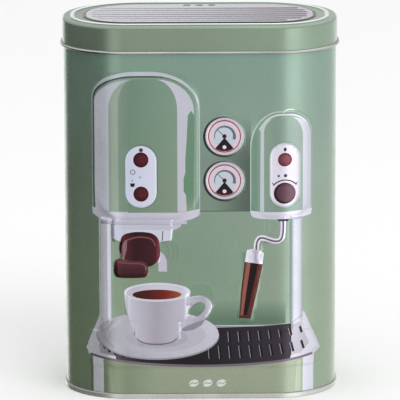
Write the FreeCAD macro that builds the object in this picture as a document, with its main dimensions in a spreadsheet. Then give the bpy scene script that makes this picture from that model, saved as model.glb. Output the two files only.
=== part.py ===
import FreeCAD, Part
import math
import os
import Sketcher

# Coffee tin with a slip-over lid, in millimetres.
# +Z is up, the pictured front faces -Y, and the origin is the middle of the base.
# Three sheet-metal pieces: the rolled wall, the seamed-on base plate and the lid.

# Driving dimensions: alias, value, meaning.
SIZES = {
    "body_width": (135.0, "outside width of the wall"),
    "body_depth": (76.0, "outside depth of the wall"),
    "front_corner": (32.0, "plan radius of the two front corners"),
    "back_corner": (38.0, "plan radius of the two back corners"),
    "sheet": (0.25, "thickness of the tinplate"),
    "mouth_height": (186.7, "top of the wall's inward curl"),
    "mouth_curl": (1.2, "outside radius of the wall's inward curl"),
    "seam_height": (2.4, "height of the double seam round the base"),
    "seam_gap": (0.02, "clearance between the seam's layers"),
    "seam_round": (0.45, "rounding of the double seam's corners"),
    "panel_rise": (3.2, "height of the base panel above the table"),
    "panel_inset": (9.0, "inset of the base panel's pressed step"),
    "panel_step": (0.6, "height of the base panel's pressed step"),
    "lock_width": (4.0, "width of the wall's lock seam at the back"),
    "lock_layers": (0.5, "thickness of the lock seam's two inner layers"),
    "lock_foot": (6.0, "height where the lock seam's inner layers start"),
    "lock_top": (183.0, "height where the lock seam's inner layers end"),
    "lid_gap": (0.3, "clearance between the wall and the lid's skirt"),
    "lid_deck": (187.0, "height of the lid's deck"),
    "lid_round": (1.5, "outside radius of the lid's shoulder"),
    "hem_height": (174.1, "height of the middle of the lid's curled hem"),
    "hem_curl": (0.72, "outside radius of the lid's curled hem"),
    "ring_inset": (3.3, "inset of the lid ring's outer edge from the wall"),
    "ring_width": (2.4, "width of the raised ring on the lid"),
    "ring_rise": (0.7, "height of the raised ring on the lid"),
    "ring_round": (0.34, "rounding of the raised ring's top edges"),
    "grille_inset": (10.2, "inset of the lid's raised grille panel"),
    "grille_rise": (0.4, "height of the lid's raised grille panel"),
}

document = FreeCAD.newDocument("CoffeeTin")
sheet = document.addObject("Spreadsheet::Sheet", "Sizes")
for row, (alias, (value, meaning)) in enumerate(SIZES.items(), start=1):
    sheet.set("A%d" % row, alias)
    sheet.set("B%d" % row, "%g" % value)
    sheet.set("C%d" % row, meaning)
    sheet.setAlias("B%d" % row, alias)
document.recompute()


class Length:
    """A sum of driving dimensions, as a number and as an expression."""

    def __init__(self, **terms):
        self.terms = terms

    @property
    def value(self):
        return sum(times * SIZES[alias][0] for alias, times in self.terms.items())

    @property
    def expression(self):
        parts = ["%g * Sizes.%s" % (times, alias) for alias, times in self.terms.items()]
        return "(%s) * 1 mm" % " + ".join(parts or ["0"])

    def __add__(self, other):
        terms = dict(self.terms)
        for alias, times in other.terms.items():
            terms[alias] = terms.get(alias, 0) + times
        return Length(**terms)

    def __neg__(self):
        return Length(**{alias: -times for alias, times in self.terms.items()})

    def __sub__(self, other):
        return self + -other


NOTHING = Length()
SHEET = Length(sheet=1)


def bind(item, name, length):
    """Ties one property of a feature to the spreadsheet."""
    setattr(item, name, length.value)
    item.setExpression(name, length.expression)


def new_body(name):
    body = document.addObject("PartDesign::Body", name)
    body.Label = name
    return body


def origin_plane(body, role):
    return next(item for item in body.Origin.OriginFeatures if item.Role == role)


def new_sketch(body, name, role, height=NOTHING):
    """An empty sketch on one of the body's own origin planes, lifted by height."""
    sketch = body.newObject("Sketcher::SketchObject", name)
    sketch.AttachmentSupport = (origin_plane(body, role), [""])
    sketch.MapMode = "FlatFace"
    sketch.AttachmentOffset = FreeCAD.Placement(
        FreeCAD.Vector(0, 0, height.value), FreeCAD.Rotation()
    )
    if height.terms:
        sketch.setExpression("AttachmentOffset.Base.z", height.expression)
    return sketch


def constrain(sketch, kind, *arguments):
    """Adds a constraint; a Length as its last argument is bound to the spreadsheet."""
    length = arguments[-1] if isinstance(arguments[-1], Length) else None
    if length is not None:
        arguments = arguments[:-1] + (length.value,)
    index = sketch.addConstraint(Sketcher.Constraint(kind, *arguments))
    if length is not None:
        sketch.setExpression("Constraints[%d]" % index, length.expression)


def add_outline(sketch, reach):
    """Draws the tin's plan, grown outwards by reach, starting at the front's middle."""
    half_width = Length(body_width=0.5) + reach
    half_depth = Length(body_depth=0.5) + reach
    front = Length(front_corner=1) + reach
    back = Length(back_corner=1) + reach
    wide, deep = half_width.value, half_depth.value
    front_x, front_y = wide - front.value, front.value - deep
    back_x, back_y = wide - back.value, deep - back.value

    def line(x1, y1, x2, y2):
        ends = FreeCAD.Vector(x1, y1, 0), FreeCAD.Vector(x2, y2, 0)
        return sketch.addGeometry(Part.LineSegment(*ends))

    def corner(x, y, radius, quarter):
        circle = Part.Circle(FreeCAD.Vector(x, y, 0), FreeCAD.Vector(0, 0, 1), radius)
        start = quarter * math.pi / 2
        return sketch.addGeometry(Part.ArcOfCircle(circle, start, start + math.pi / 2))

    chain = [
        line(0, -deep, front_x, -deep),
        corner(front_x, front_y, front.value, 3),
        line(wide, front_y, wide, back_y),
        corner(back_x, back_y, back.value, 0),
        line(back_x, deep, -back_x, deep),
        corner(-back_x, back_y, back.value, 1),
        line(-wide, back_y, -wide, front_y),
        corner(-front_x, front_y, front.value, 2),
        line(-front_x, -deep, 0, -deep),
    ]
    for before, after in zip(chain, chain[1:]):
        constrain(sketch, "Tangent", before, 2, after, 1)
    constrain(sketch, "Coincident", chain[-1], 2, chain[0], 1)
    for level in (chain[0], chain[4], chain[8]):
        constrain(sketch, "Horizontal", level)
    for upright in (chain[2], chain[6]):
        constrain(sketch, "Vertical", upright)
    constrain(sketch, "PointOnObject", chain[0], 1, -2)
    constrain(sketch, "DistanceY", -1, 1, chain[0], 1, -half_depth)
    constrain(sketch, "DistanceY", -1, 1, chain[4], 1, half_depth)
    constrain(sketch, "DistanceX", -1, 1, chain[2], 1, half_width)
    constrain(sketch, "DistanceX", -1, 1, chain[6], 1, -half_width)
    for arc, radius in ((1, front), (7, front), (3, back), (5, back)):
        constrain(sketch, "Radius", chain[arc], radius)


def add_rectangle(sketch, left, right, near, far):
    """Draws a rectangle between two places along each of the sketch's axes."""
    corners = [(left, near), (right, near), (right, far), (left, far)]
    points = [FreeCAD.Vector(x.value, y.value, 0) for x, y in corners]
    sides = [
        sketch.addGeometry(Part.LineSegment(start, end))
        for start, end in zip(points, points[1:] + points[:1])
    ]
    for side, following in zip(sides, sides[1:] + sides[:1]):
        constrain(sketch, "Coincident", side, 2, following, 1)
    for side, (x, y) in zip(sides, corners):
        constrain(sketch, "DistanceX", -1, 1, side, 1, x)
        constrain(sketch, "DistanceY", -1, 1, side, 1, y)


def outline_sketch(body, name, reaches, height=NOTHING):
    """A sketch of the plan at one height, with one closed outline for each reach."""
    sketch = new_sketch(body, name, "XY_Plane", height)
    for reach in reaches:
        add_outline(sketch, reach)
    return sketch


def pad(body, name, sketch, length):
    feature = body.newObject("PartDesign::Pad", name)
    feature.Profile = sketch
    bind(feature, "Length", length)
    return feature


def pocket(body, name, sketch, length):
    """Cuts upwards from the sketch, and stops if nothing was cut."""
    document.recompute()
    before = body.Shape.Volume
    feature = body.newObject("PartDesign::Pocket", name)
    feature.Profile = sketch
    feature.Reversed = True
    bind(feature, "Length", length)
    document.recompute()
    if body.Shape.Volume >= before:
        raise ValueError("%s cut nothing" % name)
    return feature


def band(body, name, outer, inner, low, high):
    """A band of sheet that follows the plan between two reaches and two heights."""
    plan = outline_sketch(body, name + "_plan", [outer, inner], low)
    return pad(body, name, plan, high - low)


def fillet(body, name, radius, wanted):
    """Rounds the edges of the body's last feature that wanted(edge) picks."""
    document.recompute()
    base = body.Tip
    edges = ["Edge%d" % (i + 1) for i, edge in enumerate(base.Shape.Edges) if wanted(edge)]
    if not edges:
        raise ValueError("%s found no edges" % name)
    feature = body.newObject("PartDesign::Fillet", name)
    feature.Base = (base, edges)
    bind(feature, "Radius", radius)
    return feature


def lies_at(reach, height):
    """Picks the level edges of the plan at one reach and one height."""
    near = 0.01
    half_width = (Length(body_width=0.5) + reach).value
    half_depth = (Length(body_depth=0.5) + reach).value
    front = (Length(front_corner=1) + reach).value
    back = (Length(back_corner=1) + reach).value

    def on_plan(point):
        radius = front if point.y < 0 else back
        past_x = abs(point.x) - (half_width - radius)
        past_y = abs(point.y) - (half_depth - radius)
        if past_x > 0 and past_y > 0:
            return abs((past_x**2 + past_y**2) ** 0.5 - radius) < near
        return abs(max(past_x, past_y) - radius) < near

    def wanted(edge):
        first, last = edge.ParameterRange
        points = [edge.valueAt(first + share * (last - first)) for share in (0.0, 0.5, 1.0)]
        return all(abs(p.z - height.value) < near and on_plan(p) for p in points)

    return wanted


# Reaches of the double seam's layers, from the wall's outer face outwards.
GAP = Length(seam_gap=1)
SEAM_HEIGHT = Length(seam_height=1)
END_HOOK = GAP
BODY_HOOK = GAP + SHEET + GAP
SEAM_WALL = BODY_HOOK + SHEET + GAP
SEAM_FACE = SEAM_WALL + SHEET
CHUCK_WALL = -(SHEET + GAP)
CHUCK_FACE = CHUCK_WALL - SHEET
FLANGE = SHEET + GAP
PANEL_RISE = Length(panel_rise=1)


def make_body_wall():
    """The rolled wall: hooked into the base seam, curled inwards at the mouth."""
    body = new_body("body_wall")
    mouth = Length(mouth_height=1)
    curl = Length(mouth_curl=2)
    rounding = Length(mouth_curl=0.8)
    hook_top = SEAM_HEIGHT - SHEET - GAP
    band(body, "wall_sheet", NOTHING, -SHEET, FLANGE, mouth)
    band(body, "flange", BODY_HOOK + SHEET, -SHEET, FLANGE, FLANGE + SHEET)
    band(body, "body_hook", BODY_HOOK + SHEET, BODY_HOOK, FLANGE, hook_top)
    band(body, "mouth_bead", NOTHING, -curl, mouth - curl, mouth)
    channel = outline_sketch(body, "channel_plan", [-SHEET, SHEET - curl], mouth - curl)
    pocket(body, "mouth_channel", channel, curl - SHEET)
    fillet(body, "channel_outside", rounding - SHEET, lies_at(-SHEET, mouth - SHEET))
    fillet(body, "channel_inside", rounding - SHEET, lies_at(SHEET - curl, mouth - SHEET))
    fillet(body, "mouth_outside", rounding, lies_at(NOTHING, mouth))
    fillet(body, "mouth_inside", rounding, lies_at(-curl, mouth))
    lock = new_sketch(body, "lock_plan", "XY_Plane", Length(lock_foot=1))
    half_lock = Length(lock_width=0.5)
    back = Length(body_depth=0.5)
    add_rectangle(lock, -half_lock, half_lock, back - SHEET - Length(lock_layers=1), back - SHEET)
    pad(body, "lock_seam", lock, Length(lock_top=1, lock_foot=-1))
    return body


def make_base_plate():
    """The base: a pressed panel with a chuck wall and a double seam round the wall's foot."""
    body = new_body("base_plate")
    hook_foot = FLANGE + SHEET + GAP
    band(body, "seam_foot", SEAM_FACE, CHUCK_FACE, NOTHING, SHEET)
    band(body, "seam_wall", SEAM_FACE, SEAM_WALL, NOTHING, SEAM_HEIGHT)
    band(body, "seam_roof", SEAM_FACE, END_HOOK, SEAM_HEIGHT - SHEET, SEAM_HEIGHT)
    band(body, "end_hook", END_HOOK + SHEET, END_HOOK, hook_foot, SEAM_HEIGHT)
    band(body, "chuck_wall", CHUCK_WALL, CHUCK_FACE, NOTHING, PANEL_RISE + SHEET)
    step = Length(panel_inset=-1)
    step_rise = Length(panel_step=1)
    panel = outline_sketch(body, "panel_plan", [CHUCK_WALL], PANEL_RISE)
    pad(body, "panel", panel, SHEET)
    raised = outline_sketch(body, "step_plan", [step], PANEL_RISE)
    pad(body, "pressed_step", raised, SHEET + step_rise)
    hollow = outline_sketch(body, "hollow_plan", [step - SHEET], PANEL_RISE)
    pocket(body, "step_hollow", hollow, step_rise)
    rounding = Length(seam_round=1)
    fillet(body, "foot_outside", rounding, lies_at(SEAM_FACE, NOTHING))
    fillet(body, "foot_inside", rounding, lies_at(CHUCK_FACE, NOTHING))
    fillet(body, "roof_outside", Length(seam_round=0.5), lies_at(SEAM_FACE, SEAM_HEIGHT))
    return body


def make_lid():
    """The drawn lid: a skirt with an outward curled hem, a ring and a grille on its deck."""
    body = new_body("lid")
    inside = Length(lid_gap=1)
    deck = Length(lid_deck=1)
    hem_height = Length(hem_height=1)
    ceiling = deck - SHEET
    ring_rise = Length(ring_rise=1)
    grille_rise = Length(grille_rise=1)
    skirt = outline_sketch(body, "skirt_plan", [inside + SHEET], hem_height)
    pad(body, "shell", skirt, deck - hem_height)
    cavity = outline_sketch(body, "cavity_plan", [inside], hem_height)
    pocket(body, "cavity", cavity, ceiling - hem_height)
    fillet(body, "inner_shoulder", Length(lid_round=1) - SHEET, lies_at(inside, ceiling))
    fillet(body, "shoulder", Length(lid_round=1), lies_at(inside + SHEET, deck))
    ring_outside = Length(ring_inset=-1)
    ring_inside = ring_outside - Length(ring_width=1)
    ring = outline_sketch(body, "ring_plan", [ring_outside, ring_inside], ceiling)
    pad(body, "ring", ring, SHEET + ring_rise)
    groove_reaches = [ring_outside - SHEET, ring_inside + SHEET]
    groove = outline_sketch(body, "groove_plan", groove_reaches, ceiling)
    pocket(body, "ring_groove", groove, ring_rise)
    for name, reach in (("ring_outer_round", ring_outside), ("ring_inner_round", ring_inside)):
        fillet(body, name, Length(ring_round=1), lies_at(reach, deck + ring_rise))
    grille = Length(grille_inset=-1)
    panel = outline_sketch(body, "grille_plan", [grille], ceiling)
    pad(body, "grille_panel", panel, SHEET + grille_rise)
    recess = outline_sketch(body, "grille_recess_plan", [grille - SHEET], ceiling)
    pocket(body, "grille_recess", recess, grille_rise)
    hem_width = Length(hem_curl=2)
    hem_foot = hem_height - Length(hem_curl=1)
    hem_top = hem_height + Length(hem_curl=1)
    hem_face = inside + hem_width
    rounding = Length(hem_curl=0.8)
    band(body, "hem", hem_face, inside, hem_foot, hem_top)
    fillet(body, "hem_under", rounding, lies_at(hem_face, hem_foot))
    fillet(body, "hem_over", rounding, lies_at(hem_face, hem_top))
    return body


sub_parts = [make_body_wall(), make_base_plate(), make_lid()]
document.recompute()

for item in document.Objects:
    if "Invalid" in item.State or "Error" in item.State:
        raise RuntimeError("%s failed: %s" % (item.Label, item.State))

os.makedirs("parts", exist_ok=True)
for part in sub_parts:
    shape = part.Shape
    if shape.isNull() or not shape.isValid():
        raise RuntimeError("%s has no valid shape" % part.Label)
    shape.exportStep("parts/%s.step" % part.Label)
    box = shape.BoundBox
    print(part.Label, "solids", len(shape.Solids), "volume %.1f" % shape.Volume)
    print("  x %.2f %.2f  y %.2f %.2f  z %.2f %.2f" % (
        box.XMin, box.XMax, box.YMin, box.YMax, box.ZMin, box.ZMax))
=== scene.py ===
import math

import bpy
import numpy as np
from mathutils import Matrix, Vector
from mathutils.geometry import delaunay_2d_cdt


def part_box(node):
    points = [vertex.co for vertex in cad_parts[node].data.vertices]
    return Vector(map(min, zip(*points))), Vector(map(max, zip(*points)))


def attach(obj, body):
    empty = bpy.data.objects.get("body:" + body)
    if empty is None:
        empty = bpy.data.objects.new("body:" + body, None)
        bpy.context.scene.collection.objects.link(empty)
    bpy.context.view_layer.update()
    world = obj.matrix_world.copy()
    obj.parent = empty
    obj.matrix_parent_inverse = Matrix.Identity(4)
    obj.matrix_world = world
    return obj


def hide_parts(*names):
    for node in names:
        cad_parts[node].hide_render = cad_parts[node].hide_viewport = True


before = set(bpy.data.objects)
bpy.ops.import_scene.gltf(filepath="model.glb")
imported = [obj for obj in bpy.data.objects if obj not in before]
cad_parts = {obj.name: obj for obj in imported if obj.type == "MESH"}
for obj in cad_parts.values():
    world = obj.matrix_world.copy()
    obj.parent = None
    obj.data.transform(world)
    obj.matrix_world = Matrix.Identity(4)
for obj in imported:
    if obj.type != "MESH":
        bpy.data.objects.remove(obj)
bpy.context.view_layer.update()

# The tin's lengths are in millimetres until a mesh is made, and the studio's are in metres.
# +Z is up and the pictured front faces -Y.
MM = 0.001

# The tin's sizes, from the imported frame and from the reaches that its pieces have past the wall.
SHEET = 0.25
LID_GAP = 0.3
HEM_CURL = 0.72
HEM_REACH = LID_GAP + 2 * HEM_CURL
lid_low, lid_high = (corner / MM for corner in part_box("lid"))
HALF_WIDTH = lid_high.x - HEM_REACH
HALF_DEPTH = lid_high.y - HEM_REACH
FRONT_CORNER = 32.0
BACK_CORNER = 38.0
RING_RISE = 0.7
DECK = lid_high.z - RING_RISE
HEM_HEIGHT = lid_low.z + HEM_CURL
SEAM_TOP = 2.4
WALL_FOOT = 0.3
MOUTH = DECK - 0.3
MOUTH_CURL = 1.2
LOCK_WIDTH = 4.0
LOCK_LAYERS = 0.5
LOCK_GROOVE = 0.2
LOCK_FADE = 3.0

# The tin's plan as runs of its half outline, from the front's middle to the back's middle.
FRONT_RUN = HALF_WIDTH - FRONT_CORNER
FRONT_TURN = FRONT_CORNER * math.pi / 2
SIDE_RUN = 2 * HALF_DEPTH - FRONT_CORNER - BACK_CORNER
BACK_TURN = BACK_CORNER * math.pi / 2
BACK_RUN = HALF_WIDTH - BACK_CORNER
HALF_OUTLINE = FRONT_RUN + FRONT_TURN + SIDE_RUN + BACK_TURN + BACK_RUN


def plan(s):
    """The wall's outside point and outward direction at s along the outline from the front's middle."""
    side = 1 if s >= 0 else -1
    along = abs(s)
    if along <= FRONT_RUN:
        return along * side, -HALF_DEPTH, 0.0, -1.0
    along -= FRONT_RUN
    if along <= FRONT_TURN:
        turn = along / FRONT_CORNER
        out_x, out_y = math.sin(turn), -math.cos(turn)
        x = FRONT_RUN + FRONT_CORNER * out_x
        return x * side, FRONT_CORNER - HALF_DEPTH + FRONT_CORNER * out_y, out_x * side, out_y
    along -= FRONT_TURN
    if along <= SIDE_RUN:
        return HALF_WIDTH * side, FRONT_CORNER - HALF_DEPTH + along, float(side), 0.0
    along -= SIDE_RUN
    if along <= BACK_TURN:
        turn = along / BACK_CORNER
        out_x, out_y = math.cos(turn), math.sin(turn)
        x = BACK_RUN + BACK_CORNER * out_x
        return x * side, HALF_DEPTH - BACK_CORNER + BACK_CORNER * out_y, out_x * side, out_y
    along -= BACK_TURN
    return (BACK_RUN - along) * side, HALF_DEPTH, 0.0, 1.0


def outline_place(x):
    """How far along the outline the front's point at x lies."""
    past = abs(x) - FRONT_RUN
    if past <= 0:
        return x
    return math.copysign(FRONT_RUN + FRONT_CORNER * math.asin(min(past / FRONT_CORNER, 1)), x)


# ---------------- outlines

def arc(cx, cz, rx, rz, start, end, steps=9):
    """Points along an ellipse, its angles in degrees, anticlockwise from +x."""
    angles = np.radians(np.linspace(start, end, steps + 1))
    return [(cx + rx * math.cos(a), cz + rz * math.sin(a)) for a in angles]


def ellipse(cx, cz, rx, rz=None, steps=32):
    return arc(cx, cz, rx, rx if rz is None else rz, 0, 360, steps)[:-1]


def strip(left, right, low, high):
    return [(left, low), (right, low), (right, high), (left, high)]


def arch(left, right, foot, top, left_round, right_round):
    """An upright panel with a square foot and two elliptic shoulders, each (across, down)."""
    (lx, lz), (rx, rz) = left_round, right_round
    return (
        [(right, foot)]
        + arc(right - rx, top - rz, rx, rz, 0, 90)
        + arc(left + lx, top - lz, lx, lz, 90, 180)
        + [(left, foot)]
    )


def pill(cx, half_width, low, high):
    upper = arc(cx, high - half_width, half_width, half_width, 0, 180, 14)
    lower = arc(cx, low + half_width, half_width, half_width, 180, 360, 14)
    return upper + lower


def smooth(points, closed=True, steps=4):
    """A Catmull-Rom curve through the points."""
    count = len(points)
    spans = count if closed else count - 1
    curve = []
    for i in range(spans):
        if closed:
            ends = [points[(i + k) % count] for k in (-1, 0, 1, 2)]
        else:
            ends = [points[min(max(i + k, 0), count - 1)] for k in (-1, 0, 1, 2)]
        before, start, end, after = np.array(ends)
        for step in range(steps):
            t = step / steps
            curve.append(tuple(0.5 * (
                2 * start + (end - before) * t
                + (2 * before - 5 * start + 4 * end - after) * t**2
                + (3 * start - before - 3 * end + after) * t**3
            )))
    return curve if closed else curve + [points[-1]]


def stroke(points, width, end_width=None):
    """A line of some width, which may change evenly from its start to its end."""
    line = np.array(points, float)
    ways = np.gradient(line, axis=0)
    ways /= np.linalg.norm(ways, axis=1)[:, None]
    across_line = np.stack([-ways[:, 1], ways[:, 0]], axis=1)
    widths = np.linspace(width, width if end_width is None else end_width, len(line))
    offset = across_line * widths[:, None] / 2
    return [tuple(p) for p in line + offset] + [tuple(p) for p in (line - offset)[::-1]]


# ---------------- inks

def ease(share):
    share = np.clip(share, 0, 1)
    return share * share * (3 - 2 * share)


def plain(*colour):
    """An ink that is the same at every place."""
    return lambda *place: colour


def between(stops, value):
    """The colour at a value among (value, colour) stops."""
    values, colours = zip(*stops)
    return [np.interp(value, values, channel) for channel in zip(*colours)]


def across(*stops):
    """An ink that changes from left to right: (x, colour) stops."""
    return lambda x, z: between(stops, x)


def upward(*stops):
    """An ink that changes from low to high: (height, colour) stops."""
    return lambda x, z: between(stops, z)


def faded(first, second, low, high):
    """One ink low down that turns into another ink higher up."""
    def ink(x, z):
        share = min(max((z - low) / (high - low), 0), 1)
        return [a * (1 - share) + b * share for a, b in zip(first(x, z), second(x, z))]
    return ink


# The wall, plinth and lid greens get lighter to the right: partly the print's own change and partly painted
# light falling from the right. At their far left the low wall and the plinth are lifted again, painted light
# that makes up for the shade at the left corner and near the floor.
WALL_HIGH = across((-70, (124, 150, 134)), (0, (126, 153, 140)), (70, (136, 160, 147)))
WALL_MIDDLE = across((-70, (124, 142, 122)), (0, (131, 152, 137)), (70, (146, 164, 150)))
WALL_LOW = across((-70, (130, 146, 119)), (0, (129, 150, 132)), (70, (152, 168, 146)))
WALL = faded(faded(WALL_LOW, WALL_MIDDLE, 60, 110), WALL_HIGH, 110, 172)
PLINTH = across((-70, (140, 152, 120)), (-35, (130, 143, 119)), (-22, (148, 158, 136)),
                (70, (154, 164, 143)))
BACK = upward((0, (120, 141, 118)), (90, (123, 146, 128)), (190, (126, 152, 138)))
LID = across((-70, (124, 138, 122)), (0, (129, 145, 127)), (70, (140, 160, 142)))

DARK_LINE = plain(70, 84, 80)
SILVER_RIM = upward((96, (168, 178, 176)), (140, (168, 178, 178)), (160, (188, 195, 202)))
# HIGHLIGHT_LEFT and BAND are print, but their much lighter left ends are painted light that makes up for the
# shade at the tin's left corner.
HIGHLIGHT_LEFT = across((-52, (232, 235, 243)), (-47, (206, 209, 220)), (-43, (176, 180, 190)))
HIGHLIGHT_RIGHT = plain(192, 192, 204)
BAND = across((-53, (228, 226, 238)), (-45, (206, 204, 218)), (-36, (190, 187, 204)), (0, (204, 201, 216)),
              (30, (206, 204, 218)), (38, (190, 188, 202)), (50, (196, 195, 208)), (55, (206, 205, 218)))
STEP = across((-50, (170, 172, 184)), (-7, (196, 192, 208)))
UNPRINTED = plain(200, 200, 196)
LOCK_INK = (158, 166, 156)
LOCK_MARK = 0.25
BACK_BLEND = 35

# Places that the picture and its relief share.
GAUGE_X = 11.8
GAUGE_HEIGHTS = (132.5, 110.4)
LEFT_BUTTON_X = -29.2
LEFT_BUTTON_HEIGHTS = (121, 103.9)
RIGHT_BUTTON = (41.3, 120.7)
CUP_MOUTH = (-21.5, 54.0)


# ---------------- the picture

picture = []


def draw(outline, ink):
    """Adds an outline on top of the picture, turned anticlockwise."""
    ends = zip(outline, outline[1:] + outline[:1])
    turned = sum(x1 * z2 - x2 * z1 for (x1, z1), (x2, z2) in ends) < 0
    picture.append((outline[::-1] if turned else outline, ink))


def draw_left_housing():
    draw(arch(-53.3, -0.2, 93, 164.7, (20.5, 13), (24, 18)), SILVER_RIM)
    draw(arch(-52.6, -0.9, 96, 162.7, (19.5, 11.5), (22, 17)), DARK_LINE)
    body = across((-52, (140, 155, 142)), (-7.3, (118, 146, 126)), (-0.5, (134, 158, 142)))
    draw(arch(-52.1, -1.1, 95, 161.9, (19.5, 11.5), (20, 15.5)), body)
    draw(arch(-51.7, -28, 95, 161, (20, 11.5), (1, 1)), HIGHLIGHT_LEFT)
    draw(arch(-28, -3.1, 95, 161, (1, 1), (18.5, 15.5)), HIGHLIGHT_RIGHT)
    draw(arch(-44.8, -11.3, 95, 161.1, (13, 15), (11.5, 15)), plain(141, 156, 142))
    draw(arch(-40.2, -11.3, 95, 161.1, (8, 13), (11.5, 15)), plain(118, 138, 123))
    centre = faded(
        across((-35.5, (112, 136, 116)), (-11.3, (131, 150, 130))),
        across((-35.5, (108, 137, 120)), (-11.3, (126, 150, 133))), 110, 155)
    draw(arch(-35.6, -11.3, 94.5, 161.1, (5, 8), (11.5, 15)), centre)
    glint = [(-3.3, 92), (-3, 143), (-4.4, 145.5), (-6.1, 143), (-6.7, 131), (-7.4, 121), (-7.4, 114.5),
             (-8.3, 111.5), (-8.3, 105), (-7.2, 103.5), (-6.7, 94.8)]
    draw(glint, upward((95, (132, 152, 128)), (104, (104, 138, 112)), (143, (108, 142, 120))))


def draw_left_foot():
    bottom = [(-50.6, 91.6), (-48.8, 90.4), (-41, 89.9), (-9.4, 89.9), (-4.7, 90.9), (-1, 92.6)]
    draw([(-0.3, 96.2), (-6.6, 94.9), (-11.6, 94.3), (-44.2, 94.6), (-48.8, 95), (-53.3, 96.6), (-53, 93.2)]
         + bottom, BAND)
    draw(strip(-49, -6.8, 88.6, 90), STEP)
    draw([(-9.4, 88.6), (-43.8, 88.8), (-43.5, 86.2), (-28, 85.4), (-14, 85.5), (-12, 86), (-9.8, 87.3)],
         plain(190, 191, 207))
    draw([(-13.8, 85.5), (-43.6, 86.2), (-43.4, 81.2), (-39.4, 79.9), (-20.6, 79.5), (-14.5, 80.5)],
         across((-43.6, (186, 188, 202)), (-30, (206, 209, 224)), (-14, (206, 206, 220))))
    draw(strip(-49, -7, 88.45, 88.75), plain(160, 160, 172))
    draw(stroke([(-18.6, 85.2), (-18.9, 80.4)], 0.5), plain(90, 90, 100))


def draw_button(cx, cz, radius, dark, middle, light):
    draw(ellipse(cx + 0.1, cz - 0.1, radius + 0.25), plain(236, 206, 214))
    draw(ellipse(cx, cz, radius), plain(*dark))
    draw(ellipse(cx + 0.12 * radius, cz + 0.04 * radius, 0.82 * radius), plain(*middle))
    draw(ellipse(cx + 0.22 * radius, cz + 0.1 * radius, 0.55 * radius), plain(*light))


def draw_left_controls():
    draw(pill(-29.0, 8.1, 96.8, 128.7), plain(104, 126, 110))
    draw(pill(-29.2, 7.6, 97, 128), across((-37, (196, 203, 222)), (-21.6, (214, 216, 234))))
    for height in LEFT_BUTTON_HEIGHTS:
        draw_button(LEFT_BUTTON_X, height, 3.8, (48, 12, 22), (66, 14, 26), (84, 24, 34))
    draw(ellipse(-29.1, 125.9, 1.0, steps=12), plain(56, 52, 62))
    draw(ellipse(-33.2, 114.9, 1.3, steps=14), plain(90, 96, 112))
    draw(ellipse(-33.2, 114.9, 0.9, steps=14), plain(206, 209, 226))
    draw([(-29.6, 113.4), (-29.0, 111.9), (-30.2, 111.9)], plain(150, 156, 168))
    draw([(-34.6, 109.3), (-32.1, 109.3), (-32.5, 107.5), (-34.2, 107.5)], plain(26, 24, 34))
    draw(strip(-33.6, -33.2, 110.1, 111.3), plain(110, 116, 130))


def draw_gauge(cx, cz):
    draw(ellipse(cx - 0.25, cz - 0.25, 10.3), plain(60, 68, 70))
    draw(ellipse(cx, cz, 9.9), across((cx - 8, (46, 50, 54)), (cx, (88, 94, 100)), (cx + 8, (170, 178, 180))))
    draw(ellipse(cx, cz, 9.3), plain(206, 196, 206))
    draw(ellipse(cx, cz, 8.1), plain(122, 48, 62))
    draw(ellipse(cx + 0.05, cz - 0.05, 7.6), plain(220, 198, 208))
    draw(ellipse(cx, cz - 0.2, 5.9, steps=28), plain(192, 201, 212))
    wedge = arc(cx, cz, 7.5, 7.5, 233, 307, 8)
    wedge_ink = upward((cz - 7.6, (84, 22, 38)), (cz - 5.4, (32, 18, 28)), (cz - 2, (24, 22, 28)))
    draw([(cx, cz - 0.6)] + wedge, wedge_ink)
    draw(stroke(arc(cx, cz, 4.9, 4.9, 196, -18, 22), 0.3, 1.5), plain(98, 106, 122))
    draw(stroke([(cx, cz), (cx - 3.6, cz + 3.4)], 0.4, 0.25), plain(70, 70, 82))
    draw(ellipse(cx, cz, 1.1, steps=14), plain(74, 18, 34))
    draw(ellipse(cx, cz - 5.4, 0.95, steps=14), plain(230, 216, 220))
    draw(strip(cx - 0.14, cx + 0.14, cz + 6.0, cz + 6.9), plain(170, 160, 172))


def draw_middle():
    """The flat between the housings, shaded towards the right one, with the two gauges on it."""
    def shade(x, z):
        depth = 0.07 + 0.3 * float(ease((x - 4) / 22))
        fading = 1 - float(ease((z - 118) / 28))
        return [value * (1 - depth * fading) for value in WALL(x, z)]

    draw(strip(-0.3, 24.8, 95.2, 146.5), shade)
    draw(strip(-0.3, 24.7, 94.8, 95.2), plain(74, 92, 80))
    draw(strip(24.3, 24.7, 95, 123.5), plain(72, 92, 82))
    for height in GAUGE_HEIGHTS:
        draw_gauge(GAUGE_X, height)


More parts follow.
